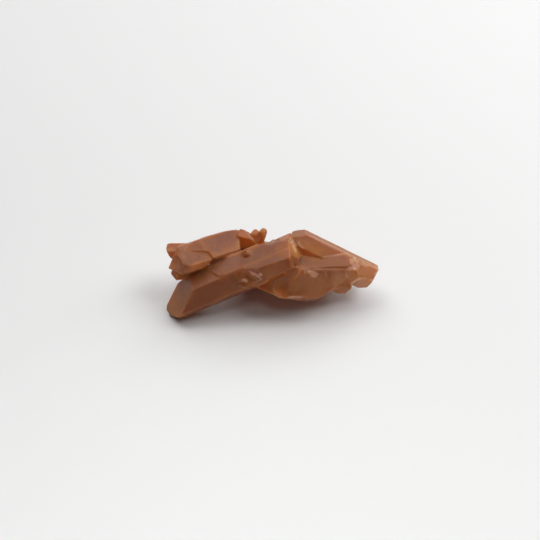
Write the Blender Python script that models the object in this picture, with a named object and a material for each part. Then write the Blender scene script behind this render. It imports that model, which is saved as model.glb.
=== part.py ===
"""Tangerine quartz cluster: intergrown quartz points fused into one free-standing specimen.

Every crystal starts as a block and is cut back, plane by plane, to its own growth faces: six
sides round a long axis, sloping tip faces at quartz's true angle, and the flat breaks where it
was chipped or met a neighbour. Boolean modifiers join the crystals into one closed solid and
hollow the shell-shaped chips out of it. Lengths are in millimetres and angles in degrees until
the meshes are made, in metres.
"""
import math

import bmesh
import bpy
from mathutils import Matrix, Vector

NAME = "tangerine_quartz_cluster"

# Driving dimensions
MM = 0.001
TIP_SLOPE = 38.2        # between the outward directions of a tip face and of the side it rises from
TABLE_HEIGHT = -1.0     # the table under the cluster, in the crystals' own coordinates
BLANK_SIZE = 100.0      # edge of the block that a crystal is cut from
CUT_TOLERANCE = 1e-5
BALL_SUBDIVISIONS = 4   # fineness of the balls that hollow out the chips
TANGERINE = (0.62, 0.27, 0.12, 1.0)
ROUGHNESS = 0.4
REFRACTIVE_INDEX = 1.544
TRANSMISSION = 0.35

# One entry per crystal. centre is a point on the long axis. heading is the compass bearing of
# the tip (0 = +X, 90 = +Y), pitch its rise above level and twist the turn of side 0 away from
# straight up. sides are the six distances from the axis to the side faces. tip and root map a
# side's number to where that side's sloping end face meets the axis, and "flat" is a square end.
# Each break is a plane that faces (heading, pitch) at a distance from the centre.
CRYSTALS = {
    # the large point at the front left, its body and the shoulder that swells from its side
    "front_point": dict(
        centre=(-18, -4.75, 7), heading=193, pitch=-19.5, twist=-2,
        sides=(4.65, 5.4, 5, 4.5, 4.6, 4.4),
        tip={0: 8.3, 3: 18.15, 4: 15.4}, root={"flat": 12},
        breaks=((163.5, 22, 7.7),),
    ),
    "front_body": dict(
        centre=(-4, -1.5, 12.1), heading=193, pitch=-19.5, twist=-2,
        sides=(4.95, 5.8, 4.7, 4.6, 4.65, 4.35),
        root={"flat": 12},
        breaks=((-138, 18, 10.15), (97.5, 36.5, 6.35), (-3, 34, 12.25)),
    ),
    "front_shoulder": dict(
        centre=(-1, -3, 12.6), heading=186.5, pitch=-19.5, twist=-4,
        sides=(5.2, 4.6, 4.5, 4.5, 4.2, 4.8),
        tip={"flat": 6.5}, root={"flat": 12},
        breaks=((-120, -6.5, 4.6), (-8.5, -4, 9.4), (-39.5, -45.5, 2), (-3, 34, 9.55)),
    ),
    # the second point behind it, with the raised growth steps on its top
    "rear_point": dict(
        centre=(-16.05, 3.1, 12.1), heading=207, pitch=1.5, twist=-19,
        sides=(4.45, 5.85, 4.5, 4.5, 1.9, 4.55),
        tip={0: 15.5, 5: 14.2},
        breaks=(
            (163.5, 15.5, 9.85), (-130.5, -45, 7.7), (-103.5, 66, 6.95), (14.5, -49, -2.87),
        ),
    ),
    "rear_body": dict(
        centre=(-13.5, 4.35, 12.05), heading=207, pitch=1.5, twist=-19,
        sides=(4.85, 6.05, 4.4, 4.4, 0.55, 4.65),
        breaks=((-154, -28, 2.1), (102, 30, 5.7), (5, 10, 5.6)),
    ),
    "rear_ledge": dict(
        centre=(-19.1, 1.55, 12.2), heading=207, pitch=1.5, twist=-19,
        sides=(4.86, 6.1, 4.3, 4.3, 1.9, 4.3),
        root={"flat": 5},
        breaks=((-90.5, -17, -0.4), (138.5, -17.5, 1), (-74, 70.5, 4.82)),
    ),
    # splinters beside and below its tip
    "left_splinter": dict(
        centre=(-22, 4.7, 12.7), heading=172, pitch=-8, twist=-5,
        sides=(2.3, 2.2, 2.2, 2.2, 2.4, 2.9),
        root={"flat": 5},
        breaks=((190, -25, 6), (160, 38, 6.2)),
    ),
    "left_spur": dict(
        centre=(-23.8, -0.4, 11), heading=200, pitch=-25, twist=20,
        sides=(2.1, 2.2, 2.2, 2.2, 2.2, 2.2),
        tip={0: 5.4, 1: 4.6, 3: 4.8, 5: 5.3}, root={"flat": 4},
        breaks=((-148.5, -21.5, 3.95),),
    ),
    # the hollow behind the middle, with its shelf, knobs, slab and grains
    "rear_shelf": dict(
        centre=(-6.3, 7.9, 14.4), heading=-10, pitch=-12, twist=8,
        sides=(2.8, 3, 3, 3, 3, 2.1),
        tip={"flat": 5.2}, root={"flat": 3},
        breaks=((-16, 68.5, 3), (25, 37, 1.47)),
    ),
    "small_knob": dict(
        centre=(-4.35, 6.8, 15.3), heading=75, pitch=48, twist=10,
        sides=(1.15, 1.85, 1.2, 1.2, 1.25, 1.2),
        tip={0: 2.9, 1: 3.3, 2: 3.5, 5: 3.2, "flat": 2.7}, root={"flat": 4},
        breaks=((153, 27, 1.8),),
    ),
    "large_knob": dict(
        centre=(-2.1, 6.8, 15.9), heading=60, pitch=52, twist=25,
        sides=(1.2, 1.35, 1.15, 1.1, 1.15, 1.35),
        tip={0: 3.1, 1: 3.3, 3: 3.9, 5: 3.5, "flat": 2.55}, root={"flat": 4},
        breaks=((-10, -11, 0.85), (36, 32.5, 2.35), (147.5, 31, 2.2)),
    ),
    "saddle_slab": dict(
        centre=(4.2, 4.5, 15), heading=193, pitch=-19.5, twist=5,
        sides=(2.5, 2.6, 2.3, 2.6, 2.5, 2.2),
        tip={"flat": 3}, root={"flat": 2.9},
    ),
    "saddle_grain_a": dict(
        centre=(0.15, 3, 16.25), heading=200, pitch=25, twist=10,
        sides=(1.2, 1.3, 1.1, 1.2, 1.1, 1.2),
        tip={"flat": 2.2}, root={"flat": 2},
    ),
    "saddle_grain_b": dict(
        centre=(1.65, 3.4, 16.25), heading=150, pitch=15, twist=30,
        sides=(1.1, 1.2, 1.1, 1.3, 1.1, 1.2),
        tip={"flat": 1.8}, root={"flat": 2},
    ),
    "bud": dict(
        centre=(-6.3, -0.5, 16.75), heading=250, pitch=55, twist=10,
        sides=(1, 1.1, 0.95, 1.05, 1, 1.15),
        tip={1: 1.25, 3: 1.4, 5: 1.3, "flat": 0.8}, root={"flat": 2},
    ),
    # the right half: one long blade that runs down to the right, and the blocks in front of it
    "right_blade": dict(
        centre=(19.85, 3, 10.2), heading=-11.5, pitch=-25, twist=29.5,
        sides=(4.15, 4.25, 4, 4, 4.2, 3.4),
        tip={"flat": 12.4}, root={0: 19.2, 4: 20, 5: 17.2},
        breaks=((-20.5, -27.5, 10.1), (-85, -48.5, 7.6), (172, 12, 15.25)),
    ),
    "middle_blade": dict(
        centre=(12, -0.5, 11.5), heading=7, pitch=-3, twist=15,
        sides=(3.2, 3.2, 3.2, 3.2, 4, 4),
        tip={"flat": 11.5}, root={"flat": 10},
        breaks=((176.5, -31, 5.2), (48.5, 23, 8.25), (-36, 15, 8.9)),
    ),
    "lower_block": dict(
        centre=(12, -3.2, 8.7), heading=8, pitch=-8, twist=55,
        sides=(3.6, 5.15, 4, 4.2, 4.2, 5.2),
        tip={0: 14.2},
        breaks=(
            (-24, 18.5, 8.75), (-47, -26, 5.25), (-47, -40, 4.8),
            (-108.5, 35, 7.25), (-135, -62, 5.45),
        ),
    ),
    "lower_block_end": dict(
        centre=(15, -2, 9), heading=6, pitch=-9, twist=52,
        sides=(2.8, 5.15, 4, 4.2, 4.2, 3.9),
        tip={0: 14.5, 1: 14}, root={"flat": 4},
        breaks=((-68, -49, 4), (-47, -40, 5.8), (-1, 14.5, 9.6)),
    ),
    "wedge_block": dict(
        centre=(6, -2.2, 10.5), heading=8, pitch=-8, twist=50,
        sides=(5.2, 3.45, 3, 3, 3, 4.7),
        tip={"flat": 5}, root={"flat": 6},
        breaks=((-37.5, -12.5, 2.5), (147, 14.5, 0.75), (88, 43, 1.95)),
    ),
    "lower_spur": dict(
        centre=(20.2, -2, 5), heading=2, pitch=-1, twist=70,
        sides=(1.5, 1.75, 1.6, 1.6, 1.6, 1.6),
        breaks=((20, -30, 1.5), (175, -40, 1.85), (-45, -31, 2)),
    ),
    # the heart of the cluster, the two points that it stands on, and the points that fan out
    # at the back and below
    "core": dict(
        centre=(3.5, 4, 8.2), heading=9, pitch=-7, twist=24,
        sides=(4.6, 4.8, 5, 5.3, 4.9, 4.7),
        tip={0: 15.5, 1: 14.6, 2: 16, 3: 15, 4: 14.2, 5: 15.4},
        root={0: 15, 1: 14, 2: 14.5, 3: 13.6, 4: 15.2, 5: 14.4},
    ),
    "under_point": dict(
        centre=(-2, 3.7, 6.8), heading=158, pitch=-4, twist=8,
        sides=(3.9, 4.4, 4.2, 5.3, 5.6, 3.8),
        tip={0: 14.5, 1: 15.3, 2: 14.8, 3: 13.7, 4: 14.2, 5: 15},
        root={0: 9, 1: 9.8, 2: 9.2, 3: 8.4, 4: 9, 5: 9.6},
    ),
    "front_foot": dict(
        centre=(10, 3.6, 5.5), heading=-70, pitch=-69, twist=14,
        sides=(3.3, 3.6, 3.2, 3.5, 3.3, 3.6),
        tip={0: 9.4, 1: 9.9, 2: 9.5, 3: 9.2, 4: 9.8, 5: 9.3}, root={"flat": 6},
    ),
    "rear_foot": dict(
        centre=(-1, 5.5, 7.5), heading=104, pitch=-52, twist=5,
        sides=(3, 3.3, 2.9, 3.1, 3.4, 3),
        tip={0: 12, 1: 12.8, 2: 12.3, 3: 11.8, 4: 12.6, 5: 12.1}, root={"flat": 6},
    ),
    "back_point_left": dict(
        centre=(-9, 6.3, 9.3), heading=122, pitch=-24, twist=12,
        sides=(2.5, 2.8, 2.6, 2.9, 2.7, 2.5),
        tip={0: 11.8, 1: 12.7, 2: 12.2, 3: 12.9, 4: 12, 5: 12.4}, root={"flat": 6},
    ),
    "back_point_middle": dict(
        centre=(5, 6.5, 9), heading=82, pitch=-30, twist=26,
        sides=(2.2, 2.4, 2.5, 2.3, 2.2, 2.5),
        tip={0: 9.6, 1: 10.3, 2: 10.1, 3: 9.8, 4: 10.4, 5: 9.7}, root={"flat": 6},
    ),
    "back_point_right": dict(
        centre=(13, 5, 9), heading=38, pitch=-27, twist=22,
        sides=(2.7, 2.9, 2.8, 3, 2.6, 2.8),
        tip={0: 11.8, 1: 12.6, 2: 12.3, 3: 11.7, 4: 12.4, 5: 12}, root={"flat": 6},
    ),
}

# Shell-shaped chips, each hollowed out by a ball: a point on the surface, the way the chip faces
# (heading, pitch), the ball's radius and how deep it bites.
CHIPS = {
    "body_chip": dict(spot=(-6.6, -6.5, 12.7), facing=(-92, 20), radius=9, depth=0.25),
    "shoulder_chip": dict(spot=(-3.4, -7.2, 13.7), facing=(-112, 4), radius=5, depth=0.32),
    "block_top_chip": dict(spot=(11.6, -3.9, 14.1), facing=(-76, 66), radius=7, depth=0.3),
    "block_face_chip": dict(spot=(7.2, -8.2, 9.8), facing=(-92, 30), radius=11, depth=0.28),
    "block_corner_chip": dict(spot=(4.7, -7.4, 11.6), facing=(-118, 22), radius=5, depth=0.4),
    "block_foot_chip": dict(spot=(7.1, -9.2, 8.1), facing=(-82, -14), radius=7, depth=0.5),
    "ledge_chip": dict(spot=(22.4, -0.8, 13.8), facing=(-40, 40), radius=4.5, depth=0.25),
    "rear_tip_chip": dict(spot=(-25.3, -3.1, 15), facing=(-150, 46), radius=4, depth=0.2),
    "front_tip_chip": dict(spot=(-28.8, -6.5, -0.3), facing=(-165, -5), radius=2, depth=0.2),
}


def direction(heading, pitch):
    """Unit vector that points to a compass bearing and rises by the pitch."""
    turn = math.radians(heading)
    rise = math.radians(pitch)
    level = math.cos(rise)
    return Vector((math.cos(turn) * level, math.sin(turn) * level, math.sin(rise)))


def side_directions(axis, twist):
    """Outward directions of a crystal's six sides, side 0 being the one nearest to straight up."""
    up = (Vector((0, 0, 1)) - axis * axis.z).normalized()
    across = axis.cross(up)
    turns = [math.radians(twist + 60 * side) for side in range(6)]
    return [up * math.cos(turn) + across * math.sin(turn) for turn in turns]


def end_planes(centre, axis, outwards, faces):
    """Planes of one end of a crystal: a square end, or tip faces that slope in to the axis."""
    slope = math.radians(TIP_SLOPE)
    for side, reach in faces.items():
        if side == "flat":
            yield centre + axis * reach, axis
        else:
            facing = outwards[side] * math.cos(slope) + axis * math.sin(slope)
            yield centre + axis * reach, facing


def cut(mesh, point, facing):
    """Cut away what lies beyond a plane and close the cut with one flat face."""
    everything = mesh.verts[:] + mesh.edges[:] + mesh.faces[:]
    result = bmesh.ops.bisect_plane(
        mesh, geom=everything, dist=CUT_TOLERANCE, plane_co=point, plane_no=facing,
        clear_outer=True,
    )
    rim = [item for item in result["geom_cut"] if isinstance(item, bmesh.types.BMEdge)]
    if rim:
        bmesh.ops.edgeloop_fill(mesh, edges=rim)


def grow(centre, heading, pitch, twist, sides, tip=None, root=None, breaks=()):
    """One crystal as a closed convex mesh, in millimetres."""
    centre = Vector(centre)
    axis = direction(heading, pitch)
    outwards = side_directions(axis, twist)
    mesh = bmesh.new()
    bmesh.ops.create_cube(mesh, size=BLANK_SIZE, matrix=Matrix.Translation(centre))
    for outward, distance in zip(outwards, sides):
        cut(mesh, centre + outward * distance, outward)
    for point, facing in end_planes(centre, axis, outwards, tip or {}):
        cut(mesh, point, facing)
    for point, facing in end_planes(centre, -axis, outwards, root or {}):
        cut(mesh, point, facing)
    for break_heading, break_pitch, distance in breaks:
        facing = direction(break_heading, break_pitch)
        cut(mesh, centre + facing * distance, facing)
    cut(mesh, Vector((0, 0, TABLE_HEIGHT)), Vector((0, 0, -1)))
    bmesh.ops.recalc_face_normals(mesh, faces=mesh.faces)
    return mesh


def to_object(name, mesh, collection, placing):
    """Put a mesh into the scene in metres, moved by the placing."""
    mesh.transform(placing)
    data = bpy.data.meshes.new(name)
    mesh.to_mesh(data)
    mesh.free()
    item = bpy.data.objects.new(name, data)
    collection.objects.link(item)
    return item


def chip_ball(spot, facing, radius, depth):
    """The ball that hollows out one chip, as a closed mesh in millimetres."""
    middle = Vector(spot) + direction(*facing) * (radius - depth)
    mesh = bmesh.new()
    bmesh.ops.create_icosphere(
        mesh, subdivisions=BALL_SUBDIVISIONS, radius=radius, matrix=Matrix.Translation(middle),
    )
    return mesh


def cutter_object(name, mesh, collection, placing):
    """A shape that only works on others: drawn as a wire frame and not rendered."""
    item = to_object(name, mesh, collection, placing)
    item.hide_render = True
    item.display_type = "WIRE"
    return item


def combine(target, operation, other):
    """Join another object to the target, or cut it out of the target."""
    boolean = target.modifiers.new(other.name, "BOOLEAN")
    boolean.operation = operation
    boolean.solver = "EXACT"
    boolean.object = other


def new_collection(name):
    """A collection linked to the scene."""
    collection = bpy.data.collections.new(name)
    bpy.context.scene.collection.children.link(collection)
    return collection


def quartz_material():
    """Translucent orange quartz with a soft waxy shine."""
    material = bpy.data.materials.new("tangerine_quartz")
    material.use_nodes = True
    surface = material.node_tree.nodes["Principled BSDF"]
    surface.inputs["Base Color"].default_value = TANGERINE
    surface.inputs["Roughness"].default_value = ROUGHNESS
    surface.inputs["Metallic"].default_value = 0.0
    surface.inputs["IOR"].default_value = REFRACTIVE_INDEX
    surface.inputs["Transmission Weight"].default_value = TRANSMISSION
    return material


def bottom_centre(meshes):
    """Middle of the lowest level of the box round all the meshes."""
    points = [vert.co for mesh in meshes for vert in mesh.verts]
    low = [min(point[i] for point in points) for i in range(3)]
    high = [max(point[i] for point in points) for i in range(3)]
    return Vector(((low[0] + high[0]) / 2, (low[1] + high[1]) / 2, low[2]))


def main():
    for item in list(bpy.data.objects):
        bpy.data.objects.remove(item, do_unlink=True)
    meshes = {name: grow(**shape) for name, shape in CRYSTALS.items()}
    placing = Matrix.Scale(MM, 4) @ Matrix.Translation(-bottom_centre(meshes.values()))

    part = new_collection(NAME)
    joined = new_collection("crystals_joined_in")
    chipped = new_collection("chips_cut_out")
    cluster = to_object(NAME, meshes.pop("core"), part, placing)
    cluster.data.materials.append(quartz_material())
    for name, mesh in meshes.items():
        combine(cluster, "UNION", cutter_object(name, mesh, joined, placing))
    for name, shape in CHIPS.items():
        ball = cutter_object(name, chip_ball(**shape), chipped, placing)
        combine(cluster, "DIFFERENCE", ball)


main()
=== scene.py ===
"""Looks of the tangerine quartz cluster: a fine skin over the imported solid, with growth lines,
worn edges, small chips and splintery breaks, and the cloudy translucent orange of iron-stained
quartz.

The frame is in metres. Sizes below are in millimetres and angles in degrees until they are used.
Only the floor, the lights, the shaders' own values and the camera's limits are in metres.
"""

import math

import bmesh
import bpy
import numpy as np
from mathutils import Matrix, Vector, noise
from mathutils.bvhtree import BVHTree
from mathutils.kdtree import KDTree


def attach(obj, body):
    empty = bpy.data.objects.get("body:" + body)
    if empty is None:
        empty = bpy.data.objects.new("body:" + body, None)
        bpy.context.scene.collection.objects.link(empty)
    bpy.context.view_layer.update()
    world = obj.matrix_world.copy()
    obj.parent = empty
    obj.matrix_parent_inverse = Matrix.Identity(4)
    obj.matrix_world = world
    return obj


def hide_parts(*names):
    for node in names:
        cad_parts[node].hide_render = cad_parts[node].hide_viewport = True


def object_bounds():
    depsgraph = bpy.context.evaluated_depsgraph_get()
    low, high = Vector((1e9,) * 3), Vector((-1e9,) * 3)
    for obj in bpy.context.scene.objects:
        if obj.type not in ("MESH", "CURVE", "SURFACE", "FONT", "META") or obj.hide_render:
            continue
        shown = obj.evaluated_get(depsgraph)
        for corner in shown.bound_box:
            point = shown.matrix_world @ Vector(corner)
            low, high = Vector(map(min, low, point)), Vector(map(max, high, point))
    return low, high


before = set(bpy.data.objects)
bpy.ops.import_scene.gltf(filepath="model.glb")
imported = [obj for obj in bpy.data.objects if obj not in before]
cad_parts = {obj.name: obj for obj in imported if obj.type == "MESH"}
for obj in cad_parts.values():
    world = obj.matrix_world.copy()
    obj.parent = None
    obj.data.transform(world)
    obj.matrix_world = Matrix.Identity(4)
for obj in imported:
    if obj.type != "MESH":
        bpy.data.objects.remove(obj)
bpy.context.view_layer.update()
CAD_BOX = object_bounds()

NODE = "tangerine_quartz_cluster"
MM = 0.001
SEED = 11

# The solid's faces and creases
WELD = 0.002            # corners closer than this are one
SHARP = 24.0            # a crease between faces sharper than this is an edge of the crystal
SHORTEST = 0.9          # a crease shorter than this is left out
SPACING = 0.12          # distance between the points that stand for a crease
SIDE_LEAN = 0.035       # a side face leans less than this to its crystal's axis, as a sine
AXIS_REACH = 7.5        # a side face lies within this distance of its crystal's axis
THICKEST = 20.0         # depth given to a point with nothing behind it

# Skin: a fine even mesh over the solid, detailed by moving its points, nearly all of them inward
VOXEL = 0.25
HUG = 0.9               # how much of the way a point moves onto its face or its edge
SNAP = 0.4              # a point moves onto an edge that is this close, in voxels
EVENING = 0.7           # how much of the way a round of softening moves a point
FAINTEST = 0.01         # a softening weight below this counts as none
ROUNDING = 14           # rounds of softening where a mark is soft
FOLDING = 4             # rounds that even the cuts near an edge, so that they don't fold
BLUNTING = 2            # rounds that blunt the finished creases
SWELLS = ((3.5, 0.02, 3), (0.8, 0.008, 2))      # low swells: size of a lump, relief, octaves
TERRACES = ((2.6, 1.0), (0.9, 0.55))            # growth lines: length of a run, and its share
GROWTH = 0.012          # height of a growth line's step
GROWTH_GAP = 0.6        # growth lines fade out within this distance of an edge
WEAR = 0.02             # how deep the edges are worn
WEAR_REACH = 0.4        # and how far from the edge
CELLS = ((2.0, 0.34), (0.9, 0.16))              # broken surfaces: size of a facet, and its relief
PATCHES = 5.0           # size of the rough patches on the far side
PATCH_REACH = 3.0       # and how far they spread from the hollows between crystals
DEEPEST = 0.6           # nothing is cut deeper than this
CHIPS = 420             # small flat chips knocked off the raised edges
CHIP_DEPTH = (0.03, 0.16)       # the shallowest chip, and how much deeper one can be
CHIP_REACH = (0.4, 5.0)         # a chip's radius, and how much that grows with its depth

# Camera: the photograph looks down on the cluster from the front
LOOK_AT = (-0.61, -2.05, 11.0)
ELEVATION = 45.0
DISTANCE = 273.0
LENS = 65.0
SENSOR = 36.0
PICTURE = 540           # width and height of the photograph, in pixels
CLIP = (0.005, 10.0)    # near and far limits

# Marks on the side that the photograph shows. at is a pixel of the photograph, size the mark's
# half-length and half-width in pixels and turn its slope in degrees, downhill to the right. The
# rest says what it does there, from 0 to 1: milky patches with painted highlights among them,
# painted glow (deep orange), painted glow in honey orange, painted shade, grey, soft (rounded
# off) and broken (a splintery surface). In millimetres, cut is how deep it is worn in, and swell
# how far it is pushed out.
MARKS = {
    "broken_waist": dict(at=(249, 280), size=(15, 8), turn=20, broken=1.0, painted_glow=0.45),
    # whitish broken quartz on the waist, with painted highlights on its pale flecks
    "waist_streak": dict(at=(256, 276), size=(7.5, 1.7), turn=35, milky_and_sheen=0.95, cut=0.2),
    "waist_flake": dict(at=(260.5, 274.5), size=(2.2, 1.6), turn=20, milky_and_sheen=1.0),
    "waist_spot": dict(at=(245, 280.5), size=(3.2, 1.7), turn=10, milky_and_sheen=1.0, cut=0.1),
    "waist_rim": dict(at=(244, 282), size=(5, 0.8), turn=8, milky_and_sheen=0.5, cut=0.1),
    "waist_glow": dict(at=(243, 276), size=(6, 8), turn=20, painted_glow=0.45),
    "saddle_rough": dict(at=(272.5, 241), size=(7.5, 3), turn=-18, broken=1.0, grey=0.75),
    "saddle_pale": dict(at=(284, 237), size=(6, 3), turn=-28, milky_and_sheen=0.5),
    "recess": dict(at=(247, 243), size=(12, 6), turn=0, painted_glow=0.7, painted_honey_glow=0.35),
    "knobs": dict(
        at=(258.5, 234.5), size=(10.5, 8), turn=0, painted_glow=0.5, painted_shade=0.25, soft=1.0, swell=0.35
    ),
    "large_knob": dict(at=(263, 235), size=(4, 5), turn=0, milky_and_sheen=0.12),
    # painted shade over the bud's lit side, with painted glow
    "bud": dict(at=(246.5, 253.5), size=(5, 5), turn=0, painted_shade=0.7, painted_glow=0.6, swell=0.12),
    "flake_long": dict(at=(294.3, 246.0), size=(6.5, 1.6), turn=67, milky_and_sheen=0.6, cut=0.08),
    "flake_high": dict(at=(291.5, 240), size=(4, 2), turn=55, milky_and_sheen=0.7, cut=0.1),
    "flake_side": dict(at=(299.5, 244), size=(4, 1.2), turn=60, milky_and_sheen=0.55),
    "flake_low": dict(at=(302.5, 248), size=(2.6, 1.2), turn=40, milky_and_sheen=0.5),
    "flake_zone": dict(at=(295, 247), size=(9, 11), turn=-20, broken=0.5, painted_glow=0.6),
    "glowing_wall": dict(at=(309, 253.5), size=(17, 7.5), turn=12, painted_honey_glow=0.7, painted_glow=0.3),
    "blade_cap": dict(at=(298, 236), size=(8, 5), turn=-10, painted_glow=0.35, painted_shade=0.2),
    "blade_left": dict(at=(300, 242), size=(9, 6), turn=20, milky_and_sheen=0.12, painted_glow=0.45),
    "wall_deep": dict(at=(310, 254.5), size=(13, 3), turn=22, painted_honey_glow=1.0, milky_and_sheen=0.12),
    "blade_glow": dict(at=(320, 249), size=(27, 8), turn=24, painted_glow=0.75, painted_shade=0.08),
    # painted glow and painted shade over the slab's top, darkest at its deep left end
    "slab_glow": dict(at=(302, 262), size=(18, 7), turn=0, painted_glow=0.6, painted_shade=0.5),
    "slab_deep": dict(at=(299, 262), size=(14, 6), turn=-8, painted_shade=0.85, painted_glow=0.9),
    "slab_shade": dict(at=(328, 262), size=(24, 7), turn=-4, painted_shade=0.5, painted_glow=0.7),
    "end_patch": dict(at=(354.5, 263), size=(6.5, 4.5), turn=60, milky_and_sheen=0.75),
    "end_patch_low": dict(at=(350, 268.5), size=(4.5, 2), turn=-20, milky_and_sheen=0.55),
    "end_patch_right": dict(at=(364, 264.5), size=(5, 2), turn=25, milky_and_sheen=0.6),
    "end_pale": dict(
        at=(366, 274), size=(14, 13), turn=20, milky_and_sheen=0.16, painted_glow=0.5, broken=0.1, painted_honey_glow=0.3
    ),
    "end_rounding": dict(at=(366, 279.5), size=(10, 4.5), turn=-10, soft=1.0),
    # painted glint along the rim of the right end, in milky white
    "end_rim": dict(at=(376, 273), size=(4, 1.6), turn=-55, milky_and_sheen=0.55),
    "end_foot": dict(at=(361, 283), size=(12, 5), turn=-10, milky_and_sheen=0.8),
    "block_streak": dict(at=(313, 273.5), size=(6, 3.2), turn=25, milky_and_sheen=0.75, cut=0.1),
    "block_streak_low": dict(at=(313.5, 276.8), size=(4, 1.2), turn=10, milky_and_sheen=0.5),
    "block_line_left": dict(at=(305, 272.5), size=(2.5, 1), turn=70, milky_and_sheen=0.5),
    "block_line_right": dict(at=(326, 274.5), size=(4.5, 1), turn=80, milky_and_sheen=0.35),
    "block_sheen": dict(at=(336.5, 285), size=(8, 2), turn=-42, milky_and_sheen=0.25, cut=0.08),
    "block_warm": dict(at=(316, 284), size=(32, 15), turn=0, painted_glow=0.3, milky_and_sheen=0.15),
    "block_facets": dict(at=(316, 286), size=(30, 11), turn=0, broken=0.4),
    "block_right": dict(at=(338, 278), size=(10, 9), turn=-20, milky_and_sheen=0.3),
    "block_end": dict(at=(352, 277), size=(8, 9), turn=0, milky_and_sheen=0.25, painted_glow=0.35),
    "block_glow": dict(at=(294, 286), size=(9, 9), turn=20, painted_glow=0.6, painted_shade=0.15, broken=0.5),
    "block_pink": dict(at=(291, 290), size=(4, 2.6), turn=20, milky_and_sheen=0.14),
    "block_chip": dict(at=(296, 297.5), size=(8, 1.6), turn=2, milky_and_sheen=0.7, broken=0.8),
    "block_left": dict(at=(278, 286), size=(13, 9), turn=25, broken=0.7, painted_glow=0.4, painted_honey_glow=0.35),
    "spur_pale": dict(at=(342, 290), size=(11, 4.5), turn=-8, milky_and_sheen=0.4),
    "gap_glow": dict(at=(180, 276), size=(8, 4), turn=20, painted_glow=0.8),
    "rear_tip": dict(at=(175, 272), size=(9, 7), turn=30, painted_glow=0.5, milky_and_sheen=0.1),
    "rear_tip_band": dict(at=(177, 262), size=(7, 10), turn=20, milky_and_sheen=0.28, painted_glow=0.25),
    "band_glow": dict(at=(202, 266), size=(21, 5), turn=-18, painted_honey_glow=0.4, painted_glow=0.4, milky_and_sheen=0.1),
    "shoulder_top": dict(at=(284, 250), size=(9, 9), turn=0, painted_glow=0.55, painted_shade=0.15),
    "shoulder_glow": dict(at=(272, 270), size=(16, 8), turn=-20, painted_glow=0.45, milky_and_sheen=0.1),
    "shelf_edge": dict(at=(242, 236), size=(6, 5), turn=40, painted_glow=0.6),
    "splinter_glow": dict(at=(171, 254), size=(7, 7), turn=40, painted_glow=0.45, milky_and_sheen=0.15),
    "groove": dict(at=(228, 256), size=(20, 1.8), turn=-17, painted_honey_glow=0.35, painted_glow=0.6),
    "ledge_shine": dict(at=(198, 261), size=(6, 1.6), turn=-8, milky_and_sheen=0.1, cut=0.05),
    # painted glow and a little painted shade on the front point's tip
    "tip_painted_glow_and_shade": dict(at=(180, 298), size=(20, 12), turn=-60, painted_shade=0.08, painted_glow=0.45),
    "crack": dict(at=(296.3, 275), size=(6, 0.8), turn=-58, painted_shade=0.7, painted_glow=0.5, cut=0.15),
}
COLOUR_KINDS = ("milky_and_sheen", "painted_glow", "painted_honey_glow", "painted_shade", "grey")
MARK_KINDS = COLOUR_KINDS + ("broken", "cut", "swell", "soft")
# the milky marks here also hold painted highlights and glints
CRISP_PALE = 0.45      # a mark that is milkier than this has a crisp rim
CLEARANCE = 0.35        # how far off the surface the look towards the camera starts

# Long thin lines on the same side: from one pixel to another, with a half-width in pixels
LINES = {
    # painted shade along the front point's lower edge, where it meets its shadow
    "lower_edge": dict(start=(180, 315), end=(254, 289), width=2.2, painted_shade=0.45),
    "blade_band": dict(start=(303, 232), end=(376, 267), width=2.6, painted_glow=0.4, painted_shade=0.25),
    "blade_line_high": dict(start=(309, 234.6), end=(374, 265.5), width=0.5, cut=0.05, milky_and_sheen=0.3),
    "blade_line_low": dict(start=(312, 238.2), end=(370, 266.4), width=0.45, cut=0.06, painted_shade=0.4),
    "ledge_line_a": dict(start=(199, 254.5), end=(210, 256.0), width=0.4, cut=0.05, painted_shade=0.35),
    "ledge_line_b": dict(start=(197, 257.0), end=(209, 258.5), width=0.4, cut=0.05, painted_shade=0.25),
    "ledge_line_c": dict(start=(194, 260.5), end=(204, 261.3), width=0.4, cut=0.05, painted_shade=0.25),
    "rear_tip_line": dict(start=(177, 250.5), end=(184.5, 265), width=0.5, cut=0.05, milky_and_sheen=0.2),
    # painted shadow of the small step on the front point's top, with painted glow
    "step_line": dict(start=(211, 271), end=(221.5, 277.8), width=0.6, painted_shade=0.7, painted_glow=0.5),
    "waist_line_a": dict(start=(225, 275), end=(235, 288), width=0.7, painted_glow=0.45),
    "waist_line_b": dict(start=(234, 271), end=(241, 284), width=0.7, painted_glow=0.5),
    "waist_line_c": dict(start=(250, 285), end=(263, 279), width=0.6, milky_and_sheen=0.35),
    "waist_line_d": dict(start=(238, 286), end=(250, 289), width=0.6, milky_and_sheen=0.3),
    # painted highlights along the slab's top edge and its corner
    "slab_edge": dict(start=(322, 257.2), end=(349, 252.8), width=0.7, milky_and_sheen=0.45),
    "slab_corner": dict(start=(347, 252.5), end=(353, 259), width=0.6, milky_and_sheen=0.4),
    # painted shade in the narrow crevice under the slab, with painted glow
    "slab_groove": dict(start=(304, 268.4), end=(345, 267.2), width=0.9, painted_shade=0.75, painted_glow=0.9),
    "underline": dict(start=(262, 285), end=(286, 272), width=2.0, painted_honey_glow=0.25, painted_glow=0.8),
}

# Soft boxes: name, heading from X towards Y, height in degrees, distance, size, power
LIGHTS = (
    ("back_left", 110, 58, 1.2, 1.4, 10.0),
    ("right", 6, 55, 0.75, 0.45, 2.3),
    ("low_right", 14, 24, 0.9, 0.5, 1.2),
    ("back_right", 60, 35, 1.1, 0.5, 2.0),
)

# A soft box with a grid that lifts the floor in front: its place, size, power and spread
NEAR_LIGHT = (-0.02, -0.17, 0.35)
NEAR_SIZE = 0.12
NEAR_POWER = 0.042
NEAR_SPREAD = 60
SKY = (0.97, 0.985, 1.0, 1.0)
SKY_STRENGTH = 0.06

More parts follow.
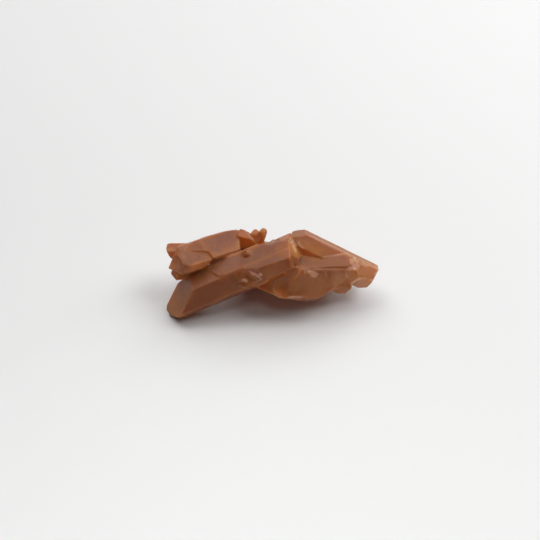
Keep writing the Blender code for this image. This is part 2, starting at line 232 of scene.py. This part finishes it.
# The floor: half its width, how far it lies under the part, and its surface
FLOOR_REACH = 1.5
FLOOR_GAP = 0.00002
FLOOR = {"Base Color": (0.85, 0.85, 0.845, 1.0), "Roughness": 0.85, "Specular IOR Level": 0.2}

# Colours of the stone, and of the painted glow and painted shade laid over it
BROWN = (0.345, 0.113, 0.040)
PINKISH = (0.395, 0.150, 0.066)
ORANGE = (0.49, 0.155, 0.029)
# deep orange of the painted glow of light through the crystal
GLOWING = (0.68, 0.23, 0.026)
# rusty brown of the specks, also the colour of the painted shade
RUST_AND_SHADE = (0.22, 0.055, 0.014)
# bright honey orange of the painted glow
HONEY = (0.86, 0.30, 0.04)
# pale of the milky patches, chips and edges, also used for painted highlights and glints
MILKY_AND_SHEEN = (0.98, 0.64, 0.40)
GREYISH = (0.36, 0.29, 0.25)

# How strong the pinkish clouds, the orange flecks, the rusty specks and the milky veils get
CLOUDS = 0.7
FLECKS = 0.3
SPECKS = 0.35
VEILS = 0.06
# Tints laid over them in this order, before and after the specks: painted glow through thin
# parts, orange in the hollows, and the marks' painted glow, then painted shade and grey. Then
# what makes
# the stone pale: a value kept on the skin, and how strong it gets
TINTS = (
    # painted glow of light shining through the thin parts
    ("thin", 0.45, GLOWING),
    # orange in the hollows: iron-oxide stain that collects there, with painted glow of light
    # scattered in the recesses
    ("valley", 0.6, ORANGE),
    # painted glow from the marks, deep orange
    ("painted_glow", 0.8, GLOWING),
    # painted glow in bright honey orange from the marks
    ("painted_honey_glow", 0.8, HONEY),
)
# painted shade in rust brown from the marks, then the grey of rough patches
SHADES = (("painted_shade", 0.85, RUST_AND_SHADE), ("grey", 1.0, GREYISH))
# pale at chips, edges, veils and the milky patches with their painted highlights
PALE = (("chip", 0.08), ("ridge", 0.10), ("milky_and_sheen", 0.85))

# Quartz: gloss, cloudiness and clearness, and the orange that it takes out of the light
ROUGHNESS = (0.38, 0.55)
QUARTZ = {
    "IOR": 1.544,
    "Specular IOR Level": 0.25,
    "Subsurface Weight": 0.85,
    "Subsurface Radius": (1.0, 0.42, 0.16),
    "Subsurface Scale": 0.005,
    "Transmission Weight": 0.35,
}
ABSORPTION = {"Color": (0.93, 0.45, 0.12, 1.0), "Density": 160.0}
BUMP = {"Strength": 0.6, "Distance": 0.00008}

# The long axes that growth lines run square to: a point on the axis, and its heading and pitch
AXES = {
    "front_point": ((-18.6, -6.8, 8.0), 193, -19.5),
    "rear_point": ((-16.7, 1.0, 13.1), 207, 1.5),
    "left_splinter": ((-22.6, 2.6, 13.7), 172, -8),
    "rear_shelf": ((-6.9, 5.8, 15.4), -10, -12),
    "right_blade": ((19.2, 0.9, 11.2), -11.5, -25),
    "middle_blade": ((11.4, -2.6, 12.5), 7, -3),
    "lower_block": ((11.4, -5.3, 9.7), 8, -8),
    "core": ((2.9, 1.9, 9.2), 9, -7),
    "under_point": ((-2.6, 1.6, 7.8), 158, -4),
    "front_foot": ((9.4, 1.5, 6.5), -70, -69),
    "rear_foot": ((-1.6, 3.4, 8.5), 104, -52),
    "back_point_left": ((-9.6, 4.2, 10.3), 122, -24),
    "back_point_middle": ((4.4, 4.4, 10.0), 82, -30),
    "back_point_right": ((12.4, 2.9, 10.0), 38, -27),
}


def direction(heading, pitch):
    """Unit vector at a heading from X towards Y that rises by the pitch."""
    turn, rise = math.radians(heading), math.radians(pitch)
    level = math.cos(rise)
    return np.array((math.cos(turn) * level, math.sin(turn) * level, math.sin(rise)))


def link(item):
    bpy.context.scene.collection.objects.link(item)
    return item


def apply_modifiers(item):
    """Replace the object's mesh with its evaluated mesh and drop the modifiers."""
    graph = bpy.context.evaluated_depsgraph_get()
    graph.update()
    mesh = bpy.data.meshes.new_from_object(item.evaluated_get(graph))
    item.modifiers.clear()
    old = item.data
    item.data = mesh
    bpy.data.meshes.remove(old)


def smooth_step(low, high, value):
    t = np.clip((value - low) / (high - low), 0.0, 1.0)
    return t * t * (3 - 2 * t)


def search_tree(points):
    """Tree that finds the nearest of the points, or those within a distance."""
    tree = KDTree(len(points))
    for index, point in enumerate(points):
        tree.insert(point, index)
    tree.balance()
    return tree


class Facets:
    """The flat faces and creases of the solid, for questions about any point on its skin."""

    def __init__(self, node):
        self.mesh = bmesh.new()
        self.mesh.from_mesh(node.data)
        bmesh.ops.remove_doubles(self.mesh, verts=self.mesh.verts, dist=WELD * MM)
        self.mesh.faces.ensure_lookup_table()
        self.tree = BVHTree.FromBMesh(self.mesh)
        self.normals = np.array([face.normal for face in self.mesh.faces])
        self.axis_of_face = np.array([self.find_axis(face) for face in self.mesh.faces])
        self.find_creases()

    def find_axis(self, face):
        """Index of the crystal axis that a side face runs along, or -1 for any other face."""
        best, found = SIDE_LEAN, -1
        middle = np.array(face.calc_center_median()) / MM
        normal = np.array(face.normal)
        for index, (spot, heading, pitch) in enumerate(AXES.values()):
            axis = direction(heading, pitch)
            away = middle - np.array(spot)
            away -= axis * (away @ axis)
            lean = abs(normal @ axis)
            if lean < best and np.linalg.norm(away) < AXIS_REACH and normal @ away > 0:
                best, found = lean, index
        return found

    def find_creases(self):
        """Points along the sharp edges, raised ones and sunk ones apart."""
        self.ridges, self.valleys = [], []
        for edge in self.mesh.edges:
            if len(edge.link_faces) != 2:
                continue
            bend = edge.calc_face_angle_signed(0.0)
            a, b = (np.array(vert.co) / MM for vert in edge.verts)
            length = np.linalg.norm(b - a)
            if length < SHORTEST or abs(bend) < math.radians(SHARP):
                continue
            steps = int(length / SPACING) + 1
            outward = np.array(edge.link_faces[0].normal + edge.link_faces[1].normal)
            outward /= max(np.linalg.norm(outward), 1e-6)
            kept = self.ridges if bend > 0 else self.valleys
            for t in np.linspace(0, 1, steps):
                kept.append((a + (b - a) * t, outward, (b - a) / length))

    def nearest(self, points, kept):
        """Nearest crease to each point: which entry it is, and how far away."""
        tree = search_tree([spot for spot, outward, way in kept])
        found = [tree.find(point) for point in points]
        return np.array([hit[1] for hit in found]), np.array([hit[2] for hit in found])

    def clear(self, start, way):
        """True where nothing of the solid lies ahead of a point."""
        return self.tree.ray_cast(Vector(start * MM), Vector(way))[0] is None

    def thickness(self, points, normals):
        """How much crystal lies straight behind each point."""
        depth = np.full(len(points), THICKEST)
        for index, (point, normal) in enumerate(zip(points, normals)):
            start = (point - normal * 0.05) * MM
            hit = self.tree.ray_cast(Vector(start), Vector(-normal))
            if hit[0] is not None:
                depth[index] = hit[3] / MM
        return depth


def get_points(mesh):
    points = np.empty(len(mesh.vertices) * 3)
    mesh.vertices.foreach_get("co", points)
    return points.reshape(-1, 3) / MM


def set_points(mesh, points):
    mesh.vertices.foreach_set("co", (points * MM).ravel())
    mesh.update()


def keep_values(mesh, name, values):
    layer = mesh.attributes.new(name, "FLOAT", "POINT")
    layer.data.foreach_set("value", np.asarray(values, dtype=np.float32))


def cloud(points, scale, seed, octaves):
    """Soft noise from about -1 to 1 at each point, with lumps of about the given size."""
    shift = Vector((seed * 13.7, seed * 7.3, seed * 3.1))
    return np.array([
        noise.fractal(Vector(point) / scale + shift, 1.0, 2.0, octaves) for point in points
    ])


def growth_lines(along, around, seed):
    """Terraced relief square to the axis: runs of level face with small steps between them."""
    wander = 0.35 * np.sin(around * 0.7 + seed) + 0.2 * np.sin(around * 1.9 + seed * 2.0)
    value = np.zeros_like(along)
    for scale, amount in TERRACES:
        level = np.array([
            noise.noise(Vector((s / scale, seed * 5.1, w * 0.15)))
            for s, w in zip(along + wander, around)
        ]) * 3.0
        step = np.floor(level)
        value += amount * (step + smooth_step(0.75, 1.0, level - step))
    return value


def eye():
    """The camera's place, and the ways that it looks, and has up and to the right."""
    tilt = math.radians(ELEVATION)
    forward = np.array((0.0, math.cos(tilt), -math.sin(tilt)))
    up = np.array((0.0, math.sin(tilt), math.cos(tilt)))
    return np.array(LOOK_AT) - forward * DISTANCE, forward, up, np.array((1.0, 0.0, 0.0))


def in_picture(points):
    """The pixel of the photograph that each point lands on."""
    place, forward, up, right = eye()
    away = points - place
    scale = PICTURE * LENS / SENSOR / (away @ forward)
    return PICTURE / 2 + np.stack((away @ right * scale, -(away @ up) * scale), axis=1)


def blot(pixels, at, size, turn, crisp, seed):
    """Patch with a ragged rim, crisp or faded: 1 in its middle, 0 outside."""
    slope = math.radians(turn)
    away = pixels - np.array(at)
    along = (away[:, 0] * math.cos(slope) + away[:, 1] * math.sin(slope)) / size[0]
    across = (away[:, 1] * math.cos(slope) - away[:, 0] * math.sin(slope)) / size[1]
    reach = np.hypot(along, across)
    near = np.flatnonzero(reach < 1.8)
    ragged = np.array([
        noise.fractal(Vector((along[i] * 1.6, across[i] * 1.6, seed * 3.7)), 1.0, 2.0, 3)
        for i in near
    ])
    value = np.zeros(len(pixels))
    rim = reach[near] + 0.35 * ragged
    value[near] = smooth_step(1.3 - 0.2 * crisp, 0.3 + 0.5 * crisp, rim)
    return value


def streak(pixels, start, end, width):
    """Thin line from one pixel to another that fades at both ends."""
    start, end = np.array(start), np.array(end)
    way = (end - start) / np.linalg.norm(end - start)
    away = pixels - start
    along = away @ way / np.linalg.norm(end - start)
    across = np.abs(away[:, 1] * way[0] - away[:, 0] * way[1]) / width
    ends = smooth_step(-0.02, 0.1, along) * smooth_step(1.02, 0.9, along)
    return smooth_step(1.5, 0.5, across) * ends


def read_marks(points, flat, facets):
    """What the photograph shows, on the points that its camera sees, and which ones those are."""
    place = eye()[0]
    ways = place - points
    ways /= np.linalg.norm(ways, axis=1)[:, None]
    seen = np.array([
        flat[i] @ ways[i] > -0.05 and facets.clear(points[i] + ways[i] * CLEARANCE, ways[i])
        for i in range(len(points))
    ]) * 1.0
    pixels = in_picture(points)
    shapes = []
    for seed, mark in enumerate(MARKS.values()):
        crisp = "soft" in mark or "swell" in mark or mark.get("milky_and_sheen", 0) > CRISP_PALE
        shapes.append((mark, blot(pixels, mark["at"], mark["size"], mark["turn"], crisp, seed)))
    for line in LINES.values():
        shapes.append((line, streak(pixels, line["start"], line["end"], line["width"])))
    marks = {name: np.zeros(len(points)) for name in MARK_KINDS}
    for shape, weight in shapes:
        for name in marks:
            marks[name] = np.maximum(marks[name], weight * seen * shape.get(name, 0.0))
    return marks, seen


def broken_relief(points, size, seed):
    """Splintery relief from 0 to 1: facets of about the given size, each tilted its own way."""
    chance = np.random.default_rng(seed)
    low, high = points.min(axis=0), points.max(axis=0)
    count = int(np.prod(high - low) / size ** 3)
    seeds = chance.uniform(low, high, (count, 3))
    tilts = chance.normal(0, 1, (count, 3))
    tilts /= np.linalg.norm(tilts, axis=1)[:, None]
    levels = chance.uniform(0.2, 0.8, count)
    tree = search_tree(seeds)
    owner = np.array([tree.find(point)[1] for point in points])
    lean = np.einsum("ij,ij->i", points - seeds[owner], tilts[owner]) / size
    return np.clip(levels[owner] + 0.7 * lean, 0, 1)


def chip_edges(points, facets):
    """Knock small flat chips off the raised edges, and say how much each point was cut."""
    chance = np.random.default_rng(SEED)
    cut = np.zeros(len(points))
    tree = search_tree(points)
    for pick in chance.choice(len(facets.ridges), CHIPS, replace=False):
        spot, outward, along = facets.ridges[pick]
        deep = CHIP_DEPTH[0] + CHIP_DEPTH[1] * chance.random() ** 3
        reach = CHIP_REACH[0] + CHIP_REACH[1] * deep
        facing = outward + along * chance.normal(0, 0.2) + chance.normal(0, 0.14, 3)
        facing /= np.linalg.norm(facing)
        near = np.array([hit[1] for hit in tree.find_range(Vector(spot), reach)], dtype=int)
        if len(near) == 0:
            continue
        away = points[near] - spot
        fade = smooth_step(1.0, 0.45, np.linalg.norm(away, axis=1) / reach)
        taken = np.clip(away @ facing + deep, 0, deep * 1.6) * fade
        points[near] -= facing * taken[:, None]
        cut[near] = np.maximum(cut[near], taken)
    return cut


def soften(mesh, points, weights, rounds):
    """Even each point, or each move, with its neighbours' as far as its weight says."""
    pairs = np.empty(len(mesh.edges) * 2, dtype=np.int32)
    mesh.edges.foreach_get("vertices", pairs)
    pairs = pairs.reshape(-1, 2)
    ends = np.concatenate((pairs[:, 0], pairs[:, 1]))
    others = np.concatenate((pairs[:, 1], pairs[:, 0]))
    weights = np.where(weights > FAINTEST, weights, 0.0)
    near = weights[ends] > 0
    ends, others = ends[near], others[near]
    count = np.maximum(np.bincount(ends, minlength=len(points)), 1)
    for _ in range(rounds):
        for side in range(3):
            total = np.bincount(ends, weights=points[others, side], minlength=len(points))
            points[:, side] += (total / count - points[:, side]) * weights * EVENING
    return points


def carve(points, flat, axis_of, ridge, valley, marks, seen):
    """How deep each point is cut: swells, growth lines, worn edges, breaks and marked cuts."""
    depth = sum(
        relief * (1 + cloud(points, size, seed, octaves))
        for seed, (size, relief, octaves) in enumerate(SWELLS, 1)
    )
    lines = np.zeros(len(points))
    for index, (spot, heading, pitch) in enumerate(AXES.values()):
        mine = axis_of == index
        if not mine.any():
            continue
        axis = direction(heading, pitch)
        local = points[mine] - np.array(spot)
        across = np.cross(flat[mine], axis)
        around = np.einsum("ij,ij->i", local, across)
        lines[mine] = growth_lines(local @ axis, around, index + 1.0)
    steps = (lines - lines.min()) * (axis_of >= 0)
    depth += GROWTH * steps * smooth_step(0.0, GROWTH_GAP, ridge)
    wear = smooth_step(WEAR_REACH, 0.0, ridge) * (0.7 + 0.5 * cloud(points, 1.6, 3, 2))
    depth += WEAR * np.clip(wear, 0, 1)
    # breaks: where the photograph shows them, and on the ends and in the hollows of the far side
    patchy = smooth_step(0.15, 0.5, cloud(points, PATCHES, 4, 2)) * (1 - seen)
    ends = (axis_of < 0) * (1 - seen) * (0.25 + 0.35 * patchy)
    hollows = 0.8 * patchy * smooth_step(PATCH_REACH, 0.5, valley)
    rough = np.maximum.reduce((marks["broken"], ends, hollows))
    for size, relief in CELLS:
        depth += relief * rough * broken_relief(points, size, SEED + int(size * 10))
    return np.clip(depth + marks["cut"], 0, DEEPEST) - marks["swell"]


def make_skin(node):
    facets = Facets(node)
    item = link(bpy.data.objects.new("crystal_skin", node.data.copy()))
    weld = item.modifiers.new("weld", "WELD")
    weld.merge_threshold = WELD * MM
    remesh = item.modifiers.new("remesh", "REMESH")
    remesh.mode = "VOXEL"
    remesh.voxel_size = VOXEL * MM
    remesh.use_smooth_shade = True
    apply_modifiers(item)

    # each skin point takes the flat face under it, and those beside an edge move onto the edge
    points = get_points(item.data)
    found = [facets.tree.find_nearest(Vector(point * MM)) for point in points]
    onto = np.array([hit[0] for hit in found]) / MM
    face_of = np.array([hit[2] for hit in found])
    points = points + (onto - points) * HUG
    flat = facets.normals[face_of]
    axis_of = facets.axis_of_face[face_of]
    edge, ridge = facets.nearest(points, facets.ridges)
    valley = facets.nearest(points, facets.valleys)[1]
    starts = np.array([entry[0] for entry in facets.ridges])[edge]
    ways = np.array([entry[2] for entry in facets.ridges])[edge]
    foot = starts + ways * np.einsum("ij,ij->i", points - starts, ways)[:, None]
    beside = ridge < VOXEL * SNAP
    points[beside] += (foot - points)[beside] * HUG

    marks, seen = read_marks(points, flat, facets)
    points = soften(item.data, points, marks["soft"], ROUNDING)
    depth = carve(points, flat, axis_of, ridge, valley, marks, seen)
    # near an edge the cut turns from one face's direction to the other's, so that it can't fold
    points -= soften(item.data, flat * depth[:, None], smooth_step(0.9, 0.3, ridge), FOLDING)
    chipped = chip_edges(points, facets)
    crease = np.minimum(ridge, valley)
    points = soften(item.data, points, smooth_step(0.5, 0.15, crease), BLUNTING)
    low, high = (np.array(corner) / MM for corner in CAD_BOX)
    points = np.clip(points, low, high)
    set_points(item.data, points)

    # what the material reads
    keep_values(item.data, "ridge", smooth_step(0.5, 0.0, ridge))
    keep_values(item.data, "valley", smooth_step(1.6, 0.0, valley))
    keep_values(item.data, "chip", smooth_step(0.02, 0.14, chipped))
    # how thin the crystal is, which the material turns into painted glow of light through thin
    # parts
    keep_values(item.data, "thin", smooth_step(8.0, 1.5, facets.thickness(points, flat)))
    for name in COLOUR_KINDS:
        keep_values(item.data, name, marks[name])
    return item


def make_camera():
    data = bpy.data.cameras.new("camera")
    data.lens = LENS
    data.sensor_width = SENSOR
    data.clip_start, data.clip_end = CLIP
    camera = link(bpy.data.objects.new("camera", data))
    tilt = math.radians(ELEVATION)
    back = Vector((0.0, -math.cos(tilt), math.sin(tilt)))
    camera.location = (Vector(LOOK_AT) + back * DISTANCE) * MM
    camera.rotation_euler = (math.pi / 2 - tilt, 0.0, 0.0)
    bpy.context.scene.camera = camera


def set_inputs(node, values):
    for name, value in values.items():
        node.inputs[name].default_value = value


def make_floor():
    mesh = bpy.data.meshes.new("floor")
    corners = [(-1, -1), (1, -1), (1, 1), (-1, 1)]
    mesh.from_pydata(
        [(x * FLOOR_REACH, y * FLOOR_REACH, 0) for x, y in corners], [], [(0, 1, 2, 3)],
    )
    floor = link(bpy.data.objects.new("floor", mesh))
    floor.location.z = -FLOOR_GAP
    material = bpy.data.materials.new("floor")
    material.use_nodes = True
    set_inputs(material.node_tree.nodes["Principled BSDF"], FLOOR)
    mesh.materials.append(material)


def area_light(name, place, target, size, power):
    data = bpy.data.lights.new(name, "AREA")
    data.shape = "DISK"
    data.size = size
    data.energy = power
    light = link(bpy.data.objects.new(name, data))
    light.location = place
    aim = Vector(target) - Vector(place)
    light.rotation_euler = aim.to_track_quat("-Z", "Y").to_euler()
    return light


def make_light():
    world = bpy.data.worlds.new("studio")
    world.use_nodes = True
    set_inputs(world.node_tree.nodes["Background"], {"Color": SKY, "Strength": SKY_STRENGTH})
    bpy.context.scene.world = world
    below = (NEAR_LIGHT[0], NEAR_LIGHT[1], 0)
    near = area_light("near_floor", NEAR_LIGHT, below, NEAR_SIZE, NEAR_POWER)
    near.data.spread = math.radians(NEAR_SPREAD)
    for name, heading, height, distance, size, power in LIGHTS:
        area_light(name, Vector(direction(heading, height)) * distance, (0, 0, 0), size, power)
    bpy.context.scene.view_settings.view_transform = "Standard"


class Shader:
    """Small helper for building a node tree."""

    def __init__(self, name):
        self.material = bpy.data.materials.new(name)
        self.material.use_nodes = True
        self.tree = self.material.node_tree
        self.surface = self.tree.nodes["Principled BSDF"]
        self.output = self.tree.nodes["Material Output"]

    def node(self, kind, **settings):
        item = self.tree.nodes.new(kind)
        for key, value in settings.items():
            setattr(item, key, value)
        return item

    def plug(self, source, target):
        if hasattr(source, "is_output"):
            self.tree.links.new(source, target)
        else:
            target.default_value = source

    def value(self, name):
        return self.node("ShaderNodeAttribute", attribute_name=name).outputs["Fac"]

    def noise(self, scale_mm, detail, rough=0.55, distort=0.0, offset=(0, 0, 0)):
        shift = self.node("ShaderNodeMapping")
        self.plug(self.node("ShaderNodeTexCoord").outputs["Object"], shift.inputs["Vector"])
        shift.inputs["Location"].default_value = offset
        item = self.node("ShaderNodeTexNoise")
        self.plug(shift.outputs["Vector"], item.inputs["Vector"])
        item.inputs["Scale"].default_value = 1.0 / (scale_mm * MM)
        item.inputs["Detail"].default_value = detail
        item.inputs["Roughness"].default_value = rough
        item.inputs["Distortion"].default_value = distort
        return item.outputs["Fac"]

    def band(self, source, low, high, out_low=0.0, out_high=1.0):
        item = self.node("ShaderNodeMapRange", interpolation_type="SMOOTHSTEP")
        self.plug(source, item.inputs["Value"])
        item.inputs["From Min"].default_value = low
        item.inputs["From Max"].default_value = high
        item.inputs["To Min"].default_value = out_low
        item.inputs["To Max"].default_value = out_high
        return item.outputs["Result"]

    def maths(self, kind, a, b):
        item = self.node("ShaderNodeMath", operation=kind)
        self.plug(a, item.inputs[0])
        self.plug(b, item.inputs[1])
        return item.outputs[0]

    def mix(self, amount, strength, a, b):
        """Colour a with colour b laid over it, as far as the amount times the strength says."""
        item = self.node("ShaderNodeMix", data_type="RGBA")
        self.plug(self.maths("MULTIPLY", amount, strength), item.inputs["Factor"])
        self.plug((*a, 1.0) if isinstance(a, tuple) else a, item.inputs[6])
        self.plug((*b, 1.0) if isinstance(b, tuple) else b, item.inputs[7])
        return item.outputs[2]


def stone_colour(shader):
    """Brown stone with clouds, tints, rusty specks, painted glow and painted shade, paler at
    chips, edges, veils and milky patches with painted highlights.
    """
    cloudy = shader.band(shader.noise(7.0, 3.0), 0.38, 0.62)
    fine = shader.band(shader.noise(1.3, 4.0, 0.6), 0.35, 0.7)
    specks = shader.band(shader.noise(0.9, 2.0, 0.5, 0.6, (0.3, 0.1, 0.2)), 0.66, 0.74)
    veils = shader.band(shader.noise(1.1, 4.0, 0.7, 1.2, (0.4, 0.6, 0.1)), 0.52, 0.72)
    colour = shader.mix(cloudy, CLOUDS, BROWN, PINKISH)
    colour = shader.mix(fine, FLECKS, colour, ORANGE)
    for name, strength, tint in TINTS:
        colour = shader.mix(shader.value(name), strength, colour, tint)
    colour = shader.mix(specks, SPECKS, colour, RUST_AND_SHADE)
    for name, strength, tint in SHADES:
        colour = shader.mix(shader.value(name), strength, colour, tint)
    pale = shader.maths("MULTIPLY", veils, VEILS)
    for name, strength in PALE:
        reach = shader.maths("MULTIPLY", shader.value(name), strength)
        pale = shader.maths("MAXIMUM", pale, reach)
    return shader.mix(pale, 1.0, colour, MILKY_AND_SHEEN)


def quartz_material():
    shader = Shader("tangerine_quartz_looks")
    surface = shader.surface
    set_inputs(surface, QUARTZ)
    shader.plug(stone_colour(shader), surface.inputs["Base Color"])
    worn = shader.noise(2.2, 3.0, 0.6, 0.0, (0.5, 0.2, 0.1))
    shader.plug(shader.band(worn, 0.3, 0.7, *ROUGHNESS), surface.inputs["Roughness"])
    absorb = shader.node("ShaderNodeVolumeAbsorption")
    set_inputs(absorb, ABSORPTION)
    shader.plug(absorb.outputs["Volume"], shader.output.inputs["Volume"])
    bump = shader.node("ShaderNodeBump")
    set_inputs(bump, BUMP)
    shader.plug(shader.noise(0.3, 4.0, 0.65, 0.0, (0.1, 0.7, 0.3)), bump.inputs["Height"])
    shader.plug(bump.outputs["Normal"], surface.inputs["Normal"])
    return shader.material


skin = make_skin(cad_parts[NODE])
skin.data.materials.clear()
skin.data.materials.append(quartz_material())
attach(skin, "root")
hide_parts(NODE)
make_camera()
make_floor()
make_light()
